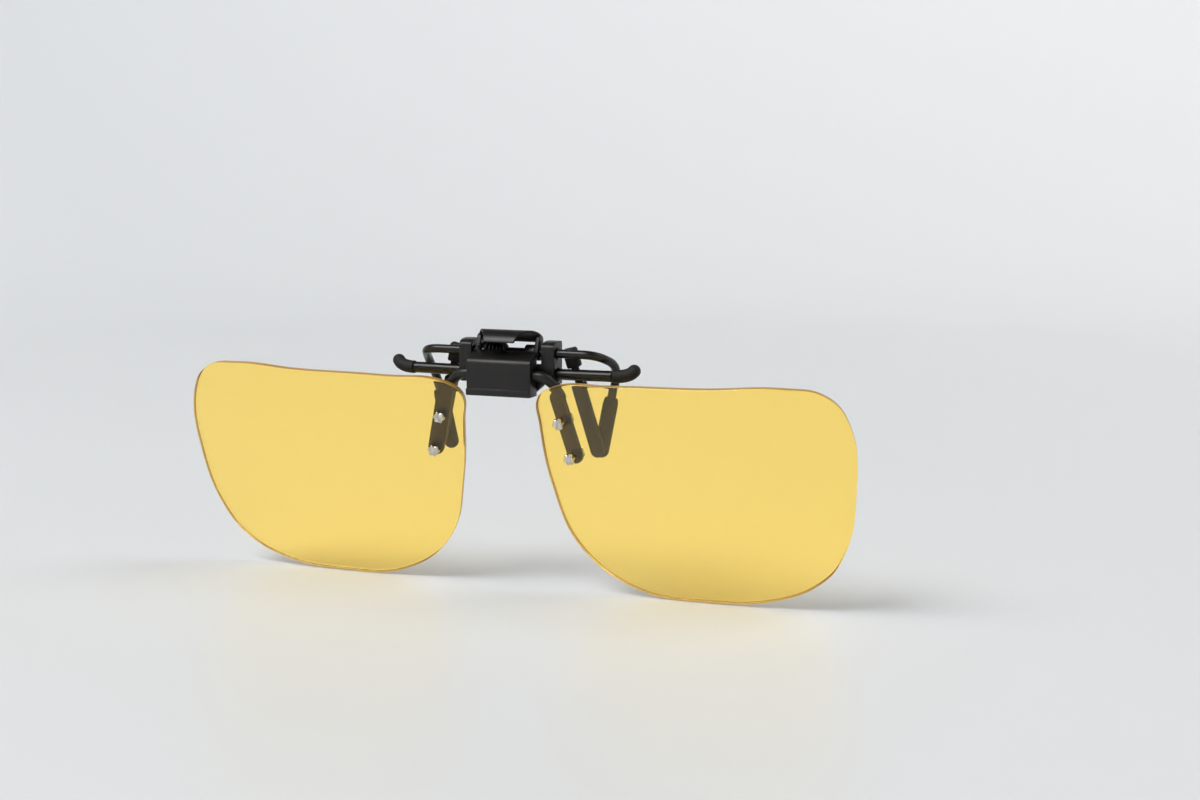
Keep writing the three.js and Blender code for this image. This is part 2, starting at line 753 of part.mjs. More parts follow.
function pressTab() {
  const sheet = prismX(archOutline(), tabReveal - tabHalfWidth, tabHalfWidth - tabReveal);
  const whole = join(
    cut(sheet, tabTrim(-1), tabTrim(1)),
    prismX(cheekOutline(), -tabHalfWidth, -tabInsideX),
    prismX(cheekOutline(), tabInsideX, tabHalfWidth),
    rodX(knuckleRadius, tabHalfWidth - tabKnuckle, tabInsideX + weldLap, pivotY, pivotZ),
  );
  const boreReach = tabHalfWidth + overrun;
  return cut(whole, rodX(wireDiameter / 2 + runningGap, -boreReach, boreReach, pivotY, pivotZ));
}
place(clipOn, 'press_tab', pressTab(), paint);

// Torsion spring: straight front leg, close turns round the shaft, straight leg up to the tab
class TorsionCoil extends THREE.Curve {
  constructor() {
    super();
    this.startX = -tabInsideX + seat + springWire / 2;
    this.turnLength = 2 * Math.PI * Math.hypot(springRadius, springPitch / (2 * Math.PI));
    this.coilLength = springTurns * this.turnLength;
    this.total = springLegFront + this.coilLength + springLegTab;
  }

  onCoil(turn) {
    const angle = springStartAngle - turn * 2 * Math.PI;
    const y = pivotY + springRadius * Math.cos(angle);
    const z = pivotZ + springRadius * Math.sin(angle);
    return new THREE.Vector3(this.startX + turn * springPitch, y, z);
  }

  heading(turn) {
    const angle = springStartAngle - turn * 2 * Math.PI;
    return new THREE.Vector3(0, Math.sin(angle), -Math.cos(angle));
  }

  getPoint(t) {
    const along = t * this.total - springLegFront;
    if (along < 0) return this.onCoil(0).addScaledVector(this.heading(0), along);
    if (along < this.coilLength) return this.onCoil(along / this.turnLength);
    return this.onCoil(springTurns).addScaledVector(this.heading(springTurns), along - this.coilLength);
  }
}

function leastGap(curve, diameter, samples) {
  const points = curve.getSpacedPoints(samples);
  const apart = Math.ceil((samples * 4 * diameter) / curve.getLength());
  let least = Infinity;
  for (let i = 0; i < points.length; i += 1) {
    for (let j = i + apart; j < points.length; j += 1) {
      least = Math.min(least, points[i].distanceTo(points[j]) - diameter);
    }
  }
  return least;
}

const coil = new TorsionCoil();
console.log(`torsion spring, least gap between its turns: ${leastGap(coil, springWire, 400).toFixed(2)} mm`);
place(clipOn, 'torsion_spring', tube(coil, springWire / 2, coil.turnLength / 8, 5), springSteel);

export default clipOn;
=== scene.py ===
import math

import bpy
from mathutils import Matrix, Vector


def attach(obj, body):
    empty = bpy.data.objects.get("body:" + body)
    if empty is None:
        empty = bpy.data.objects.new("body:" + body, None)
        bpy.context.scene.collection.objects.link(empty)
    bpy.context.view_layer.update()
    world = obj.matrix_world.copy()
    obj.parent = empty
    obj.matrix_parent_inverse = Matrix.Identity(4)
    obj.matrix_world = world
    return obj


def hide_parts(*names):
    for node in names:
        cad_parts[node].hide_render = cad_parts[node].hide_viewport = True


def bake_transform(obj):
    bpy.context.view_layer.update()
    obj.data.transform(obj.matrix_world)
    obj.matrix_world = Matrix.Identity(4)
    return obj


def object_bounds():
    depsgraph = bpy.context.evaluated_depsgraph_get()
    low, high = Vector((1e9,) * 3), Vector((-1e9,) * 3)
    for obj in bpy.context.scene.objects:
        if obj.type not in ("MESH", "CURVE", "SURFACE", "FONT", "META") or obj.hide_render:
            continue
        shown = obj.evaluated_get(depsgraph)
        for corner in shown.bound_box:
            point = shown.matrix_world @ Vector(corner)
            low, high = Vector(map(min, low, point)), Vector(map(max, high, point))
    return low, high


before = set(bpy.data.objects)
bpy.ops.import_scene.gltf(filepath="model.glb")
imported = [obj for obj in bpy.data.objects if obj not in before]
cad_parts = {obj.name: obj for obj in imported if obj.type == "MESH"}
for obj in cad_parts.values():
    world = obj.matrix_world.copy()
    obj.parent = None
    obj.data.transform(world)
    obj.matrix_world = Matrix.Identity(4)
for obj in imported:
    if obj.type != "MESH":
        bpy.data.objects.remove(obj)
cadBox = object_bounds()

mm = 0.001
weld = 0.002  # points nearer than this are one, in mm
smallStep = 0.03  # steps in a solid's mesh that would stop a bevel, in mm
softAngle = 50  # moulded and wound pieces are smoothed over edges up to this, in degrees
alongY = (math.pi / 2, 0, 0)  # lays a cylinder along y
alongX = (0, math.pi / 2, 0)  # and along x
sides = {"left": -1, "right": 1}


# small tools used all through
def pickOnly(piece):
    bpy.ops.object.select_all(action="DESELECT")
    piece.select_set(True)
    bpy.context.view_layer.objects.active = piece


def startEdit(piece):
    pickOnly(piece)
    bpy.ops.object.mode_set(mode="EDIT")
    bpy.ops.mesh.select_all(action="SELECT")


def endEdit():
    bpy.ops.object.mode_set(mode="OBJECT")


def newest(name):
    piece = bpy.context.active_object
    piece.name = name
    piece.data.name = name
    return piece


def settle(piece):
    pickOnly(piece)  # place, turn and size go into the mesh
    bpy.ops.object.transform_apply(location=True, rotation=True, scale=True)


def placed(piece, matrix):
    piece.matrix_world = matrix @ piece.matrix_world
    settle(piece)
    return piece


def applyModifier(piece, kind, **settings):
    pickOnly(piece)
    modifier = piece.modifiers.new(kind.title(), kind)
    for key, value in settings.items():
        setattr(modifier, key, value)
    bpy.ops.object.modifier_apply(modifier=modifier.name)


def roundEdges(piece, width, segments=3, angle=35):
    applyModifier(piece, "BEVEL", width=width * mm, segments=segments, limit_method="ANGLE",
                  angle_limit=math.radians(angle), use_clamp_overlap=True)


def faceOut(piece):
    startEdit(piece)
    bpy.ops.mesh.remove_doubles(threshold=weld * mm)
    bpy.ops.mesh.normals_make_consistent(inside=False)
    endEdit()


def clearSlivers(piece):
    startEdit(piece)
    bpy.ops.mesh.remove_doubles(threshold=weld * mm)
    bpy.ops.mesh.dissolve_degenerate(threshold=weld * mm)
    endEdit()


def unite(piece, *others):
    for other in others:
        applyModifier(piece, "BOOLEAN", operation="UNION", solver="EXACT", object=other)
        bpy.data.objects.remove(other)
    clearSlivers(piece)


def closeHull(flatAngle=0.5):
    # in edit mode: one skin round all that the mesh holds, its flat faces made one
    bpy.ops.mesh.select_all(action="SELECT")
    bpy.ops.mesh.convex_hull()
    bpy.ops.mesh.dissolve_limited(angle_limit=math.radians(flatAngle))
    endEdit()


def copyOf(piece, name):
    twin = bpy.data.objects.new(name, piece.data.copy())
    bpy.context.scene.collection.objects.link(twin)
    return twin


def cloneNode(node, name, flatAngle=1):
    piece = copyOf(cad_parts[node], name)
    startEdit(piece)
    bpy.ops.mesh.remove_doubles(threshold=smallStep * mm)
    bpy.ops.mesh.dissolve_limited(angle_limit=math.radians(flatAngle))
    endEdit()
    return piece


def dress(piece, body, material, nodes, smoothAngle=35):
    # smooth shading and material, then the piece joins its body and the frame's parts it stands for are hidden
    pickOnly(piece)
    bpy.ops.object.shade_smooth_by_angle(angle=math.radians(smoothAngle))
    materials = material if isinstance(material, list) else [material]
    if not piece.data.materials:
        for each in materials:
            piece.data.materials.append(each)
    else:
        for index in range(len(piece.data.materials)):
            piece.data.materials[index] = materials[min(index, len(materials) - 1)]
    if body:
        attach(piece, body)
    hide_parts(*nodes)
    return piece


def mirrorX(point, side):
    return Vector((side * point[0], point[1], point[2]))


def softBend(start, corner, end, steps):
    shares = [step / steps for step in range(steps + 1)]
    return [start * (1 - t) ** 2 + corner * 2 * t * (1 - t) + end * t ** 2 for t in shares]


def roundedPath(corners, bendRadius, steps=10):
    points = [Vector(corners[0])]  # straight runs with a round bend at each corner
    for before, corner, after in zip(corners, corners[1:], corners[2:]):
        corner = Vector(corner)
        start = corner + (Vector(before) - corner).normalized() * bendRadius
        end = corner + (Vector(after) - corner).normalized() * bendRadius
        points += softBend(start, corner, end, steps)
    points.append(Vector(corners[-1]))
    return points


def noseRings(radius, steps=8, least=0.03):
    # a rod's round end: how far out each ring lies, and its share of the radius
    angles = [step / steps * math.pi / 2 for step in range(steps + 1)]
    return [(radius * math.sin(angle), max(math.cos(angle), least)) for angle in angles]


def rodMesh(name, points, radius, radii=None, resolution=8):
    bpy.ops.object.select_all(action="DESELECT")
    bpy.ops.curve.primitive_nurbs_path_add()
    piece = newest(name)
    curve = piece.data
    curve.splines.clear()
    spline = curve.splines.new("POLY")
    spline.points.add(len(points) - 1)
    for index, point in enumerate(points):
        spline.points[index].co = (*(Vector(point) * mm), 1)
        spline.points[index].radius = radii[index] if radii else 1
    curve.dimensions = "3D"
    curve.bevel_depth = radius * mm
    curve.bevel_resolution = resolution
    curve.use_fill_caps = True
    curve.twist_mode = "MINIMUM"
    pickOnly(piece)
    bpy.ops.object.convert(target="MESH")
    settle(piece)
    faceOut(piece)
    return piece


def hexColour(text, alpha=1.0):
    channels = [int(text[i:i + 2], 16) / 255 for i in (1, 3, 5)]
    linear = [c / 12.92 if c <= 0.04045 else ((c + 0.055) / 1.055) ** 2.4 for c in channels]
    return (*linear, alpha)


def feed(tree, node, sources):
    for socket, source in sources.items():
        tree.links.new(source, node.inputs[socket])


def addNode(tree, kind, settings=None, links=None):
    node = tree.nodes.new(kind)
    for key, value in (settings or {}).items():
        if key == "stops":  # places and colours along a ramp
            for stop, (place, colour) in zip(node.color_ramp.elements, value):
                stop.position, stop.color = place, hexColour(colour)
        elif key in node.inputs:
            node.inputs[key].default_value = value
        else:
            setattr(node, key, value)
    feed(tree, node, links or {})
    return node


def newMaterial(name):
    material = bpy.data.materials.new(name)
    material.use_nodes = True
    tree = material.node_tree
    return material, tree, tree.nodes["Principled BSDF"]


def perMetre(size):
    return 1 / (size * mm)  # texture scale for a pattern of that many millimetres


enamel = {
    "cloud": 4.0, "tones": (0.35, 0.7), "glossier": 0.06, "duller": 0.08, "peelDepth": 0.02, "specular": 0.38,
}


def enamelMaterial(name, colour, worn, roughness, peel, bump):
    # baked enamel over steel: near black, a soft sheen, and a faint orange-peel in the gloss
    material, tree, shader = newMaterial(name)
    where = addNode(tree, "ShaderNodeTexCoord").outputs["Object"]
    skin = addNode(tree, "ShaderNodeTexNoise",
                   {"Scale": perMetre(peel), "Detail": 3.0, "Roughness": 0.55}, {"Vector": where})
    cloud = addNode(tree, "ShaderNodeTexNoise",
                    {"Scale": perMetre(enamel["cloud"]), "Detail": 4.0}, {"Vector": where})
    tone = addNode(tree, "ShaderNodeValToRGB",
                   {"stops": zip(enamel["tones"], (colour, worn))}, {"Fac": cloud.outputs["Fac"]})
    gloss = addNode(tree, "ShaderNodeMapRange",
                    {"To Min": roughness - enamel["glossier"], "To Max": roughness + enamel["duller"]},
                    {"Value": cloud.outputs["Fac"]})
    relief = addNode(tree, "ShaderNodeBump",
                     {"Strength": bump, "Distance": enamel["peelDepth"] * mm}, {"Height": skin.outputs["Fac"]})
    feed(tree, shader, {"Base Color": tone.outputs["Color"], "Roughness": gloss.outputs["Result"],
                        "Normal": relief.outputs["Normal"]})
    shader.inputs["Specular IOR Level"].default_value = enamel["specular"]
    return material


silicone = {
    "grain": 0.25, "grainDepth": 0.03, "bump": 0.25, "patch": 2.5, "tones": (0.4, 0.75), "roughness": (0.55, 0.8),
    "ior": 1.42,
}


def siliconeMaterial(name, colour, dust):
    # moulded silicone sleeve: matt and a little dusty; the mould's grain is drawn coarser than real, to show
    material, tree, shader = newMaterial(name)
    where = addNode(tree, "ShaderNodeTexCoord").outputs["Object"]
    grain = addNode(tree, "ShaderNodeTexNoise",
                    {"Scale": perMetre(silicone["grain"]), "Detail": 2.0}, {"Vector": where})
    patch = addNode(tree, "ShaderNodeTexNoise",
                    {"Scale": perMetre(silicone["patch"]), "Detail": 5.0, "Roughness": 0.65}, {"Vector": where})
    tone = addNode(tree, "ShaderNodeValToRGB",
                   {"stops": zip(silicone["tones"], (colour, dust))}, {"Fac": patch.outputs["Fac"]})
    least, most = silicone["roughness"]
    gloss = addNode(tree, "ShaderNodeMapRange", {"To Min": least, "To Max": most}, {"Value": patch.outputs["Fac"]})
    relief = addNode(tree, "ShaderNodeBump",
                     {"Strength": silicone["bump"], "Distance": silicone["grainDepth"] * mm},
                     {"Height": grain.outputs["Fac"]})
    feed(tree, shader, {"Base Color": tone.outputs["Color"], "Roughness": gloss.outputs["Result"],
                        "Normal": relief.outputs["Normal"]})
    shader.inputs["IOR"].default_value = silicone["ior"]
    return material


metal = {"stretch": (1.0, 1.0, 0.2), "tones": (0.3, 0.7), "glossier": 0.05, "duller": 0.1}


def metalMaterial(name, colour, shade, roughness, scratch):
    # bright plating or oiled spring wire: a metal with rubbing marks, drawn coarser than real, to show
    material, tree, shader = newMaterial(name)
    where = addNode(tree, "ShaderNodeTexCoord").outputs["Object"]
    stretch = addNode(tree, "ShaderNodeMapping", {"Scale": metal["stretch"]}, {"Vector": where})
    rub = addNode(tree, "ShaderNodeTexNoise",
                  {"Scale": perMetre(scratch), "Detail": 4.0}, {"Vector": stretch.outputs["Vector"]})
    tone = addNode(tree, "ShaderNodeValToRGB",
                   {"stops": zip(metal["tones"], (shade, colour))}, {"Fac": rub.outputs["Fac"]})
    gloss = addNode(tree, "ShaderNodeMapRange",
                    {"To Min": roughness - metal["glossier"], "To Max": roughness + metal["duller"]},
                    {"Value": rub.outputs["Fac"]})
    feed(tree, shader, {"Base Color": tone.outputs["Color"], "Roughness": gloss.outputs["Result"]})
    shader.inputs["Metallic"].default_value = 1.0
    return material


lensPlastic = {"haze": 9.0, "hazier": 0.03, "ior": 1.5}


def lensMaterial(name, tint, roughness, clear):
    # cast optical plastic, dyed yellow through its depth: polished faces, and a duller ground edge; the edge's
    # deeper amber tint is painted shade, standing in for light's longer path through the dye
    material, tree, shader = newMaterial(name)
    where = addNode(tree, "ShaderNodeTexCoord").outputs["Object"]
    haze = addNode(tree, "ShaderNodeTexNoise",
                   {"Scale": perMetre(lensPlastic["haze"]), "Detail": 3.0}, {"Vector": where})
    gloss = addNode(tree, "ShaderNodeMapRange",
                    {"To Min": roughness, "To Max": roughness + lensPlastic["hazier"]},
                    {"Value": haze.outputs["Fac"]})
    feed(tree, shader, {"Roughness": gloss.outputs["Result"]})
    shader.inputs["Base Color"].default_value = hexColour(tint)
    shader.inputs["Transmission Weight"].default_value = clear
    shader.inputs["IOR"].default_value = lensPlastic["ior"]
    return material


finishes = {
    "satinEnamel": enamelMaterial("satinBlackEnamel", "#11100f", "#181614", roughness=0.38, peel=0.35, bump=0.2),
    "wireEnamel": enamelMaterial("glossBlackEnamel", "#0e0d0d", "#141312", roughness=0.28, peel=0.3, bump=0.1),
    "silicone": siliconeMaterial("blackSilicone", "#171615", "#22201f"),
    "nickel": metalMaterial("brightNickelPlate", "#e6e1d9", "#a09a92", roughness=0.18, scratch=0.5),
    "springSteel": metalMaterial("oiledSpringSteel", "#272523", "#191816", roughness=0.38, scratch=0.3),
    "lens": lensMaterial("yellowLensPlastic", "#fddb71", roughness=0.01, clear=1.0),
    # the edge's duller gloss is the ground edge; its deeper amber tint is painted shade for the longer path through
    # the dye
    "lensEdge": lensMaterial("yellowLensEdgePaintedShade", "#e9b04a", roughness=0.3, clear=0.5),
}
print("materials ready")


# lenses and the bar that carries them, built in the hinge's own frame
lens = {
    # the edge seen from the front: shares of the width from the nose side, and of the height from the top
    "edge": [(0.04, 0.058), (0.245, 0.02), (0.568, 0.004), (0.802, 0), (0.919, 0.034), (0.984, 0.14),
             (1, 0.465), (0.948, 0.758), (0.879, 0.879), (0.737, 0.971), (0.505, 1), (0.276, 0.971),
             (0.097, 0.794), (0.02, 0.496), (-0.005, 0.223), (-0.007, 0.114)],
    "innerX": 7.4, "width": 55.5, "topZ": 1.3, "height": 41.3, "edgeSteps": 12,
    "apex": (34.21, -6.5, -18.94), "radius": 118.0, "thickness": 1.5,
    "tilt": 17.7, "hinge": (0, -9.0, 12.4), "rings": 10, "rimRing": 0.985, "edgeRound": 0.2,
}
lensCentre = Vector(lens["apex"]) + Vector((0, lens["radius"], 0))
lensTilt = Matrix.Rotation(math.radians(lens["tilt"]), 4, "X")
hingeFrame = Matrix.Translation(Vector(lens["hinge"]) * mm) @ lensTilt


def lensFront(x, z):
    dx, dz = x - lensCentre.x, z - lensCentre.z
    return lensCentre.y - math.sqrt(lens["radius"] ** 2 - dx * dx - dz * dz)


def buildLens(word, side):
    bpy.ops.object.select_all(action="DESELECT")
    bpy.ops.curve.primitive_bezier_circle_add()
    piece = newest("lens" + word.title())
    spline = piece.data.splines[0]
    spline.bezier_points.add(len(lens["edge"]) - len(spline.bezier_points))
    for point, (across, down) in zip(spline.bezier_points, lens["edge"]):
        x, z = lens["innerX"] + across * lens["width"], lens["topZ"] - down * lens["height"]
        point.co = (x * mm, 0, z * mm)
        point.handle_left_type = point.handle_right_type = "AUTO"
    spline.resolution_u = lens["edgeSteps"]
    piece.data.dimensions = "3D"
    pickOnly(piece)
    bpy.ops.object.convert(target="MESH")
    settle(piece)
    centre = (lens["apex"][0] * mm, 0, lens["apex"][2] * mm)
    startEdit(piece)
    shrink = 1.0
    targets = [1 - (ring + 1) / (lens["rings"] + 0.5) for ring in range(lens["rings"])]
    for target in [lens["rimRing"]] + targets:  # rings of faces from the edge to the middle
        bpy.ops.mesh.extrude_edges_move()
        bpy.ops.transform.resize(value=(target / shrink,) * 3, center_override=centre)
        shrink = target
    bpy.ops.mesh.extrude_edges_move()
    bpy.ops.mesh.merge(type="CENTER")
    endEdit()
    for vertex in piece.data.vertices:  # dish the sheet to the lens's front curve
        vertex.co.y = lensFront(vertex.co.x / mm, vertex.co.z / mm) * mm
        vertex.co.x *= side
    faceOut(piece)
    if piece.data.polygons[0].normal.y > 0:
        startEdit(piece)
        bpy.ops.mesh.flip_normals()
        endEdit()
    faceAndEdge = [finishes["lens"], finishes["lensEdge"]]
    for finish in faceAndEdge:
        piece.data.materials.append(finish)
    applyModifier(piece, "SOLIDIFY", thickness=lens["thickness"] * mm, offset=-1, use_even_offset=True,
                  material_offset_rim=1)
    roundEdges(piece, lens["edgeRound"], angle=60)
    placed(piece, hingeFrame)
    dress(piece, "lens_unit", faceAndEdge, ["lens_" + word], softAngle)


for word, side in sides.items():
    buildLens(word, side)
print("lenses built")

lug = {
    "mid": (12.23, -10.23), "lean": 0.28, "pitch": 6.5, "width": 2.9, "thickness": 0.8, "neck": 4.0, "gap": 0.45,
    "edgeRound": 0.14,
}
bar = {
    "diameter": 1.8, "setback": 0.5, "neckLap": 0.4, "neckRise": 0.8, "bend": 1.0,
    "elbowX": 7.9, "flat": 1.44, "flatLength": 6.9, "flatLap": 0.2, "flatRound": 0.1,
}
lugFront = lens["thickness"] + lug["gap"]
lugBack = lugFront + lug["thickness"]


def lugFrame(side):
    # origin on the lens front between the screws, y into the lens, z along the lug
    origin = Vector((lug["mid"][0], lensFront(*lug["mid"]), lug["mid"][1]))
    inward = (lensCentre - origin).normalized()
    along = Vector((-lug["lean"], 0, 1))
    along = (along - inward * along.dot(inward)).normalized()
    origin, inward, along = (mirrorX(v, side) for v in (origin, inward, along))
    across = inward.cross(along)
    turn = Matrix((across, inward, along)).transposed().to_4x4()
    return Matrix.Translation(origin * mm) @ turn


def hullOfDiscs(name, discs, depth, turn):
    # flat bar with round ends: discs at their places, and the hull round them
    bpy.ops.object.select_all(action="DESELECT")
    for index, (place, radius) in enumerate(discs):
        bpy.ops.mesh.primitive_cylinder_add(vertices=64, radius=radius * mm, depth=depth * mm,
                                            location=Vector(place) * mm, rotation=turn)
        if index == 0:
            piece = newest(name)
            settle(piece)
            bpy.ops.object.mode_set(mode="EDIT")
    closeHull()
    return piece


def buildLensBar():
    half = lug["pitch"] / 2
    lugRadius = lug["width"] / 2
    midY = (lugFront + lugBack) / 2
    barY = lugFront + bar["setback"] + bar["diameter"] / 2
    neckZ = half + lug["neck"]
    flatEnd = bar["flatLength"] / 2 - bar["flatLap"]
    parts = []
    for side in sides.values():
        seat = lugFrame(side)
        discs = [((0, midY, -half), lugRadius), ((0, midY, neckZ), lugRadius)]
        plate = hullOfDiscs("lugPlate", discs, lug["thickness"], alongY)
        roundEdges(plate, lug["edgeRound"])
        parts.append(placed(plate, seat))
        low = seat @ (Vector((0, barY, neckZ - bar["neckLap"])) * mm) / mm
        high = seat @ (Vector((0, barY, neckZ + bar["neckRise"])) * mm) / mm
        corners = [low, high, Vector((side * bar["elbowX"], 0, 0)), Vector((side * flatEnd, 0, 0))]
        parts.append(rodMesh("barEnd", roundedPath(corners, bar["bend"]), bar["diameter"] / 2))
    # the square middle lies level with the housing when the lenses are down
    bpy.ops.object.select_all(action="DESELECT")
    bpy.ops.mesh.primitive_cube_add(size=1, scale=(bar["flatLength"] * mm, bar["flat"] * mm, bar["flat"] * mm),
                                    rotation=(-math.radians(lens["tilt"]), 0, 0))
    piece = newest("lensBar")
    settle(piece)
    roundEdges(piece, bar["flatRound"])
    unite(piece, *parts)
    placed(piece, hingeFrame)
    dress(piece, "lens_unit", finishes["satinEnamel"], ["lens_bar"])


buildLensBar()
print("bar built")

screw = {
    "diameter": 1.2, "head": 2.2, "height": 0.6, "lobes": 6, "lobeDepth": 0.12, "headSeat": 0.03, "headRound": 0.07,
    "crown": [(0.82, 0.13), (0.6, 0.05)],  # share of the width that each step keeps, and its rise
    "headLap": 0.2, "seat": 0.25, "tail": 0.2, "tailRound": 0.1,
    "nutFlats": 2.1, "nutHeight": 0.7, "nutRound": 0.13,
}


def buildScrew():
    # six-lobed head with a domed crown, on a plain shank
    radius = screw["head"] / 2
    headMid = -screw["headSeat"] - screw["height"] / 2
    bpy.ops.object.select_all(action="DESELECT")
    bpy.ops.mesh.primitive_cylinder_add(vertices=72, radius=radius * mm, depth=screw["height"] * mm,
                                        location=(0, headMid * mm, 0), rotation=alongY)
    piece = newest("screw")
    settle(piece)
    for vertex in piece.data.vertices:
        angle = math.atan2(vertex.co.z, vertex.co.x)
        shrink = 1 - screw["lobeDepth"] / radius * (1 - math.cos(screw["lobes"] * angle))
        vertex.co.x *= shrink
        vertex.co.z *= shrink
    startEdit(piece)
    bpy.ops.mesh.select_all(action="DESELECT")
    bpy.ops.mesh.select_mode(type="FACE")
    endEdit()
    for face in piece.data.polygons:
        face.select = face.normal.y < -0.9  # only the head's front
    bpy.ops.object.mode_set(mode="EDIT")
    for shrink, lift in screw["crown"]:
        bpy.ops.mesh.extrude_region_move()
        bpy.ops.transform.resize(value=(shrink, 1, shrink), center_override=(0, headMid * mm, 0))
        bpy.ops.transform.translate(value=(0, -lift * mm, 0))
    endEdit()
    roundEdges(piece, screw["headRound"], angle=30)
    tip = lugBack + screw["seat"] + screw["nutHeight"] + screw["tail"]
    length = tip + screw["headSeat"] + screw["headLap"]
    bpy.ops.object.select_all(action="DESELECT")
    bpy.ops.mesh.primitive_cylinder_add(vertices=32, radius=screw["diameter"] / 2 * mm, depth=length * mm,
                                        location=(0, (tip - length / 2) * mm, 0), rotation=alongY)
    shank = newest("screwShank")
    settle(shank)
    roundEdges(shank, screw["tailRound"], segments=2)
    unite(piece, shank)
    return piece


def buildNut():
    # plain hexagon with its corners turned off
    mid = lugBack + screw["seat"] + screw["nutHeight"] / 2
    bpy.ops.object.select_all(action="DESELECT")
    bpy.ops.mesh.primitive_cylinder_add(vertices=6, radius=screw["nutFlats"] / math.sqrt(3) * mm,
                                        depth=screw["nutHeight"] * mm, location=(0, mid * mm, 0), rotation=alongY)
    piece = newest("nut")
    settle(piece)
    roundEdges(piece, screw["nutRound"])
    return piece


screwModel = buildScrew()
nutModel = buildNut()
for word, side in sides.items():
    for level, along in (("upper", lug["pitch"] / 2), ("lower", -lug["pitch"] / 2)):
        place = hingeFrame @ lugFrame(side) @ Matrix.Translation((0, 0, along * mm))
        for kind, model in (("screw", screwModel), ("nut", nutModel)):
            fastener = placed(copyOf(model, kind + word.title() + level.title()), place)
            dress(fastener, "lens_unit", finishes["nickel"], [f"{kind}_{word}_{level}"])
bpy.data.objects.remove(screwModel)
bpy.data.objects.remove(nutModel)
print("screws and nuts built")


# folded sheet parts of the clip keep the frame's form and get their rounded edges here
sheetEdges = {
    "housing": ("housingCover", 0.12), "bracket": ("bracketPlate", 0.16),
    "rivet_left": ("rivetLeft", 0.2), "rivet_right": ("rivetRight", 0.2),
    "front_leg_left": ("frontLegLeft", 0.12), "front_leg_right": ("frontLegRight", 0.12),
}
for node, (name, width) in sheetEdges.items():
    piece = cloneNode(node, name)
    roundEdges(piece, width)
    clearSlivers(piece)
    dress(piece, "clip_base", finishes["satinEnamel"], [node])
print("housing, bracket, rivets and legs built")

arm = {
    "diameter": 2.0, "root": (7.65, -5.07, 12.4), "step": (18.95, -4.32, 12.4), "bend": (19.2, -4.3, 12.4),
    "corner": (21.7, -3.95, 12.4), "end": (22.45, -3.6, 13.2), "hookSteps": 24,
    "stepRound": 0.12, "stepShare": 0.9, "stepRun": 0.01, "pinDiameter": 1.5,
    "tipDiameter": 2.3, "tipNose": 0.3, "tipMouth": [(0.2, 0.84), (0.12, 0.96)],  # how far back, share of radius
}


def buildArm(word, side):
    # thick rod with a thinner pin bent up at its end, which the soft tip goes over
    root, step, start, corner, end = (mirrorX(arm[key], side) for key in ("root", "step", "bend", "corner", "end"))
    hook = softBend(start, corner, end, arm["hookSteps"])
    ahead = (step - root).normalized()
    thin = arm["pinDiameter"] / arm["diameter"]
    points = [root, step - ahead * arm["stepRound"], step, step + ahead * arm["stepRun"]] + hook[1:]
    radii = [1, 1, arm["stepShare"]] + [thin] * len(hook)
    wire = rodMesh("restArm" + word.title(), points, arm["diameter"] / 2, radii)
    dress(wire, "clip_base", finishes["wireEnamel"], ["rest_arm_" + word])
    # the sleeve follows the hook and closes in a round nose
    radius = arm["tipDiameter"] / 2
    ahead = (hook[-1] - hook[-2]).normalized()
    back = (hook[0] - hook[1]).normalized()
    points = [hook[0] + back * run for run, share in arm["tipMouth"]] + hook
    radii = [share for run, share in arm["tipMouth"]] + [1.0] * len(hook)
    for out, share in noseRings(radius):
        points.append(hook[-1] + ahead * (arm["tipNose"] + out))
        radii.append(share)
    tip = rodMesh("restTip" + word.title(), points, radius, radii, resolution=10)
    dress(tip, "clip_base", finishes["silicone"], ["rest_tip_" + word], softAngle)


leg = {
    "cross": (11.9, -3.24, 12.4), "lean": 7.97, "splay": 14.7, "padWidth": 2.4, "padThickness": 1.5,
    "padFrom": -15.24, "cuff": 1.6, "capWidth": 2.6, "capThickness": 1.4, "capFrom": 1.25, "capTop": 4.8,
    "capCorner": 0.5, "headBlock": 0.6, "edgeRound": 0.36,
}


def legFrame(side):
    lean = Matrix.Rotation(math.radians(leg["lean"]), 4, "X")
    splay = Matrix.Rotation(math.radians(-side * leg["splay"]), 4, "Y")
    return Matrix.Translation(mirrorX(leg["cross"], side) * mm) @ (lean @ splay)


def softSleeve(name, width, thickness, tipZ, headZ, corner):
    # flat rubber sleeve: discs for the tip's corners, a block at the head, the hull of all and a soft edge
    toward = 1 if headZ > tipZ else -1
    bpy.ops.object.select_all(action="DESELECT")
    bpy.ops.mesh.primitive_cube_add(size=1, location=(0, 0, (headZ - toward * leg["headBlock"] / 2) * mm),
                                    scale=(width * mm, thickness * mm, leg["headBlock"] * mm))
    piece = newest(name)
    settle(piece)
    bpy.ops.object.mode_set(mode="EDIT")
    for across in (corner - width / 2, width / 2 - corner):
        bpy.ops.mesh.primitive_cylinder_add(vertices=48, radius=corner * mm, depth=thickness * mm,
                                            location=(across * mm, 0, (tipZ + toward * corner) * mm),
                                            rotation=alongY)
    closeHull()
    roundEdges(piece, leg["edgeRound"], segments=5, angle=40)
    return piece


def buildSleeves(word, side):
    pad = softSleeve("frontPad" + word.title(), leg["padWidth"], leg["padThickness"],
                     leg["padFrom"], -leg["cuff"], leg["padWidth"] / 2)
    placed(pad, legFrame(side))
    dress(pad, "clip_base", finishes["silicone"], ["front_pad_" + word], softAngle)
    cap = softSleeve("legCap" + word.title(), leg["capWidth"], leg["capThickness"],
                     leg["capTop"], leg["capFrom"], leg["capCorner"])
    placed(cap, legFrame(side))
    dress(cap, "clip_base", finishes["silicone"], ["leg_cap_" + word], softAngle)


for word, side in sides.items():
    buildArm(word, side)
    buildSleeves(word, side)
print("rest arms and front pads built")


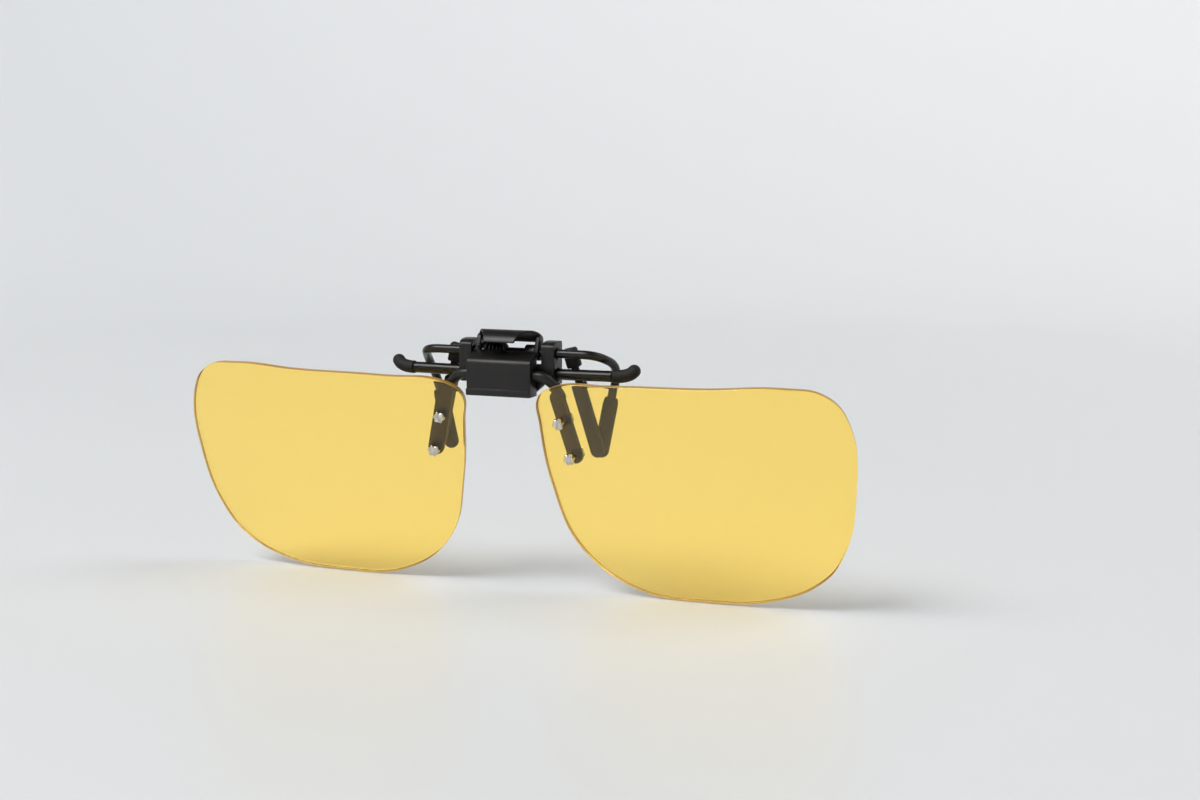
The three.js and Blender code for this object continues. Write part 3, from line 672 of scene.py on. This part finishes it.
jaw = {
    "pivot": (0, -5.58, 16.1), "diameter": 1.55, "bend": 2.6, "bendSteps": 16,
    "corners": [(14.69, 2.21, -2.2), (17.09, 1.66, 9.2), (18.45, -0.3, 13.9), (16.3, -5.58, 16.1)],
    "padDiameter": 2.7, "padNose": 0.7, "padWaist": 4, "padLength": 10.36,
    "padMouth": [(1.2, 1), (0.5, 0.93), (0.1, 0.86), (0, 0.78)],  # how far from its end, share of radius
}


def buildJawWire():
    corners = [mirrorX(p, -1) for p in jaw["corners"]] + [Vector(p) for p in reversed(jaw["corners"])]
    wire = rodMesh("jawWire", roundedPath(corners, jaw["bend"], jaw["bendSteps"]), jaw["diameter"] / 2)
    dress(wire, "rear_jaw", finishes["wireEnamel"], ["jaw_wire"])


def buildRearPad(word, side):
    # turned rubber sleeve: round foot, straight body, thin lip at its mouth
    foot, top = mirrorX(jaw["corners"][0], side), mirrorX(jaw["corners"][1], side)
    up = (top - foot).normalized()
    radius = jaw["padDiameter"] / 2
    rings = [(radius - jaw["padNose"] - out, share) for out, share in reversed(noseRings(radius))]
    rings.append((jaw["padWaist"], 1))
    rings += [(jaw["padLength"] - back, share) for back, share in jaw["padMouth"]]
    points = [foot + up * along for along, share in rings]
    radii = [share for along, share in rings]
    pad = rodMesh("rearPad" + word.title(), points, radius, radii, resolution=10)
    dress(pad, "rear_jaw", finishes["silicone"], ["rear_pad_" + word], softAngle)


tab = {
    "halfWidth": 6.0, "cheek": 0.8, "sheet": 0.45, "frontHalf": 2.65, "shoulderY": -5.2, "reveal": 0.05,
    "archAt": (-7.45, 17.55), "reach": 3.15, "rise": 2.6, "from": 8, "to": 166, "cells": (28, 64),
    "headAt": (-5.25, 18.15), "headRadius": 1.02, "knuckle": 1.4, "knuckleLength": 2.6, "knuckleLap": 0.2,
    "edgeRound": 0.12, "cheekRound": 0.14,
}


def buildPressTab():
    # pressed sheet, arched for the thumb and narrower in front, on two cheeks that grip the shaft
    archY, archZ = tab["archAt"]
    reach, rise = tab["reach"] - tab["sheet"] / 2, tab["rise"] - tab["sheet"] / 2
    frontY = archY - tab["reach"]
    columns, rows = tab["cells"]
    bpy.ops.object.select_all(action="DESELECT")
    bpy.ops.mesh.primitive_grid_add(x_subdivisions=columns, y_subdivisions=rows, size=1)
    piece = newest("pressTab")
    for vertex in piece.data.vertices:
        angle = math.radians(tab["from"] + (vertex.co.y + 0.5) * (tab["to"] - tab["from"]))
        y = archY + reach * math.cos(angle)
        share = min(max((y - frontY) / (tab["shoulderY"] - frontY), 0), 1)
        half = tab["frontHalf"] + share * (tab["halfWidth"] - tab["reveal"] - tab["frontHalf"])
        vertex.co = Vector((vertex.co.x * 2 * half, y, archZ + rise * math.sin(angle))) * mm
    faceOut(piece)
    applyModifier(piece, "SOLIDIFY", thickness=tab["sheet"] * mm, offset=0, use_even_offset=True)
    roundEdges(piece, tab["edgeRound"], angle=50)
    pivotY, pivotZ = jaw["pivot"][1:]
    headY, headZ = tab["headAt"]
    parts = []
    for side in sides.values():
        x = side * (tab["halfWidth"] - tab["cheek"] / 2)
        discs = [((x, pivotY, pivotZ), tab["knuckle"]), ((x, headY, headZ), tab["headRadius"])]
        cheek = hullOfDiscs("cheek", discs, tab["cheek"], alongX)
        roundEdges(cheek, tab["cheekRound"])
        parts.append(cheek)
    x = tab["halfWidth"] - (tab["knuckleLength"] + tab["cheek"]) / 2
    length = tab["knuckleLength"] - tab["cheek"] + tab["knuckleLap"]
    barrel = hullOfDiscs("barrel", [((x, pivotY, pivotZ), tab["knuckle"])], length, alongX)
    roundEdges(barrel, tab["edgeRound"])
    unite(piece, *parts, barrel)
    dress(piece, "rear_jaw", finishes["satinEnamel"], ["press_tab"])


spring = {
    "wire": 0.6, "radius": 1.3, "length": 4.217, "startX": -4.65, "start": 105, "turns": 6 - 1 / 6, "turnSteps": 28,
    "frontLeg": 2.4, "tabLeg": 2.7,
}


def buildSpring():
    # close turns round the shaft with a straight leg at each end
    pivotY, pivotZ = jaw["pivot"][1:]
    steps = int(spring["turns"] * spring["turnSteps"])
    coil = []
    for step in range(steps + 1):
        share = step / steps
        angle = math.radians(spring["start"]) - share * spring["turns"] * 2 * math.pi
        x = spring["startX"] + share * spring["length"]
        y, z = pivotY + spring["radius"] * math.cos(angle), pivotZ + spring["radius"] * math.sin(angle)
        coil.append(Vector((x, y, z)))
    first = (coil[0] - coil[1]) * Vector((0, 1, 1))
    last = (coil[-1] - coil[-2]) * Vector((0, 1, 1))
    frontEnd = coil[0] + first.normalized() * spring["frontLeg"]
    tabEnd = coil[-1] + last.normalized() * spring["tabLeg"]
    coilPiece = rodMesh("torsionSpring", [frontEnd] + coil + [tabEnd], spring["wire"] / 2, resolution=4)
    dress(coilPiece, None, finishes["springSteel"], ["torsion_spring"], softAngle)
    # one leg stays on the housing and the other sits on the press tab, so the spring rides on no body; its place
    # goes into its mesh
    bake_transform(coilPiece)


buildJawWire()
for word, side in sides.items():
    buildRearPad(word, side)
buildPressTab()
buildSpring()
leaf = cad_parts["leaf_spring"]  # hidden in the housing, so the frame's own solid shows it
leaf.data.materials.clear()
leaf.data.materials.append(finishes["springSteel"])
print("rear jaw and springs built")


stage = {
    # the board's colour grades paler from the first point toward the second, at the back-right: a painted light
    # gradient
    "colour": "#e4e6e7", "paintedLightTone": "#f6f7f8", "paintedLightFrom": (90, 120), "paintedLightTo": (500, 680),
    "flat": 520, "cove": 380, "height": 460, "roundSteps": 160, "coveSteps": 24, "clearance": 0.1,
    # through: how strongly the board glows where seen through the lenses, painted light
    "gloss": 0.4, "sheen": 0.35, "through": 0.25,
}


def boardMaterial():
    # lacquered board: a soft reflection of what stands on it; its colour is painted paler toward the back-right, a
    # painted light gradient, and it glows where seen through the lenses, painted light that keeps it pale as a
    # background there
    material, tree, shader = newMaterial("paleLacquerBoardPaintedLight")
    start = Vector(stage["paintedLightFrom"])
    spread = Vector(stage["paintedLightTo"]) - start
    where = addNode(tree, "ShaderNodeTexCoord").outputs["Object"]
    along = addNode(tree, "ShaderNodeMapping",
                    {"vector_type": "TEXTURE", "Location": (start.x * mm, start.y * mm, 0),
                     "Rotation": (0, 0, math.atan2(spread.y, spread.x)), "Scale": (spread.length * mm,) * 3},
                    {"Vector": where})
    share = addNode(tree, "ShaderNodeTexGradient", links={"Vector": along.outputs["Vector"]})
    # painted light: the board grows paler toward the back-right
    tone = addNode(tree, "ShaderNodeValToRGB",
                   {"stops": [(0, stage["colour"]), (1, stage["paintedLightTone"])]}, {"Fac": share.outputs["Fac"]})
    path = addNode(tree, "ShaderNodeLightPath")
    # painted light: the board glows for rays that pass through the lenses, so they show it pale
    paintedGlowThroughLens = addNode(tree, "ShaderNodeMapRange",
                          {"To Max": stage["through"]}, {"Value": path.outputs["Is Transmission Ray"]})
    feed(tree, shader, {"Base Color": tone.outputs["Color"], "Emission Strength": paintedGlowThroughLens.outputs["Result"]})
    shader.inputs["Emission Color"].default_value = hexColour(stage["colour"])
    shader.inputs["Roughness"].default_value = stage["gloss"]
    shader.inputs["Specular IOR Level"].default_value = stage["sheen"]
    return material


def buildStage():
    # a round pale board that curves up into a low wall on every side
    floorZ = cadBox[0][2] / mm - stage["clearance"]
    bpy.ops.object.select_all(action="DESELECT")
    bpy.ops.mesh.primitive_circle_add(vertices=stage["roundSteps"], radius=stage["flat"] * mm, fill_type="NGON",
                                      location=(0, 0, floorZ * mm))
    piece = newest("paleBoard")
    settle(piece)
    startEdit(piece)
    bpy.ops.mesh.select_mode(type="EDGE")
    bpy.ops.mesh.select_all(action="SELECT")
    reach, steps = stage["flat"], stage["coveSteps"]
    for step in range(steps):
        angle, ahead = (turn / steps * math.pi / 2 for turn in (step, step + 1))
        wider = stage["flat"] + stage["cove"] * math.sin(ahead)
        rise = stage["cove"] * (math.cos(angle) - math.cos(ahead))
        bpy.ops.mesh.extrude_edges_move(TRANSFORM_OT_translate={"value": (0, 0, rise * mm)})
        bpy.ops.transform.resize(value=(wider / reach, wider / reach, 1), center_override=(0, 0, 0))
        reach = wider
    wall = stage["height"] - stage["cove"]
    bpy.ops.mesh.extrude_edges_move(TRANSFORM_OT_translate={"value": (0, 0, wall * mm)})
    endEdit()
    pickOnly(piece)
    bpy.ops.object.shade_smooth()
    piece.data.materials.append(boardMaterial())


studio = {
    "room": "#eef1f3", "roomLevel": 0.28, "ceilingLevel": 0.13, "ceilingFrom": 0.3, "ceilingTo": 0.65,
    "wall": "#e4e8ea",
    "key": {"place": (-720, -1050, 1450), "size": (1300, 900), "power": 32.0},
    "fill": {"place": (1000, 350, 1300), "size": (900, 900), "power": 6.0},
}


def buildWorld():
    # a dim room with a darker ceiling, and a pale wall where the camera looks past the board
    world = bpy.data.worlds.new("studio")
    bpy.context.scene.world = world
    world.use_nodes = True
    tree = world.node_tree
    room = tree.nodes["Background"]
    room.inputs["Color"].default_value = hexColour(studio["room"])
    where = addNode(tree, "ShaderNodeTexCoord")
    height = addNode(tree, "ShaderNodeSeparateXYZ", links={"Vector": where.outputs["Generated"]})
    level = addNode(tree, "ShaderNodeMapRange",
                    {"From Min": studio["ceilingFrom"], "From Max": studio["ceilingTo"],
                     "To Min": studio["roomLevel"], "To Max": studio["ceilingLevel"]},
                    {"Value": height.outputs["Z"]})
    feed(tree, room, {"Strength": level.outputs["Result"]})
    wall = addNode(tree, "ShaderNodeBackground", {"Color": hexColour(studio["wall"]), "Strength": 1.0})
    path = addNode(tree, "ShaderNodeLightPath")
    seen = addNode(tree, "ShaderNodeMixShader",
                   links={0: path.outputs["Is Camera Ray"], 1: room.outputs["Background"],
                          2: wall.outputs["Background"]})
    through = addNode(tree, "ShaderNodeMixShader",
                      links={0: path.outputs["Is Transmission Ray"], 1: seen.outputs["Shader"],
                             2: wall.outputs["Background"]})
    feed(tree, tree.nodes["World Output"], {"Surface": through.outputs["Shader"]})


def addSoftbox(name, place, size, power):
    # an area lamp that looks at the origin
    bpy.ops.object.select_all(action="DESELECT")
    bpy.ops.object.light_add(type="AREA", location=Vector(place) * mm)
    lamp = newest(name)
    lamp.data.shape = "RECTANGLE"
    lamp.data.size, lamp.data.size_y = (side * mm for side in size)
    lamp.data.energy = power
    lamp.rotation_euler = (-Vector(place)).to_track_quat("-Z", "Y").to_euler()


buildStage()
buildWorld()
for name in ("key", "fill"):
    addSoftbox(name + "Softbox", **studio[name])

view = {
    "azimuth": 20.4, "elevation": 7.541, "roll": 0.282, "distance": 318.8, "target": (18.49, -9.28, 8.863),
    "focalPixels": 1857.0, "imageWidth": 1200, "sensor": 36.0, "nearest": 10,
}


def buildCamera():
    azimuth, elevation, roll = (math.radians(view[key]) for key in ("azimuth", "elevation", "roll"))
    back = Vector((math.sin(azimuth) * math.cos(elevation), -math.cos(azimuth) * math.cos(elevation),
                   math.sin(elevation)))
    right = Vector((math.cos(azimuth), math.sin(azimuth), 0))
    up = back.cross(right)
    tiltedRight = right * math.cos(roll) + up * math.sin(roll)
    tiltedUp = up * math.cos(roll) - right * math.sin(roll)
    bpy.ops.object.select_all(action="DESELECT")
    bpy.ops.object.camera_add()
    camera = newest("productCamera")
    turn = Matrix((tiltedRight, tiltedUp, back)).transposed().to_4x4()
    camera.matrix_world = Matrix.Translation((Vector(view["target"]) + back * view["distance"]) * mm) @ turn
    camera.data.sensor_width = view["sensor"]
    camera.data.lens = view["sensor"] * view["focalPixels"] / view["imageWidth"]
    camera.data.clip_start = view["nearest"] * mm
    bpy.context.scene.camera = camera


buildCamera()
bpy.context.scene.view_settings.view_transform = "Standard"
print("stage ready")
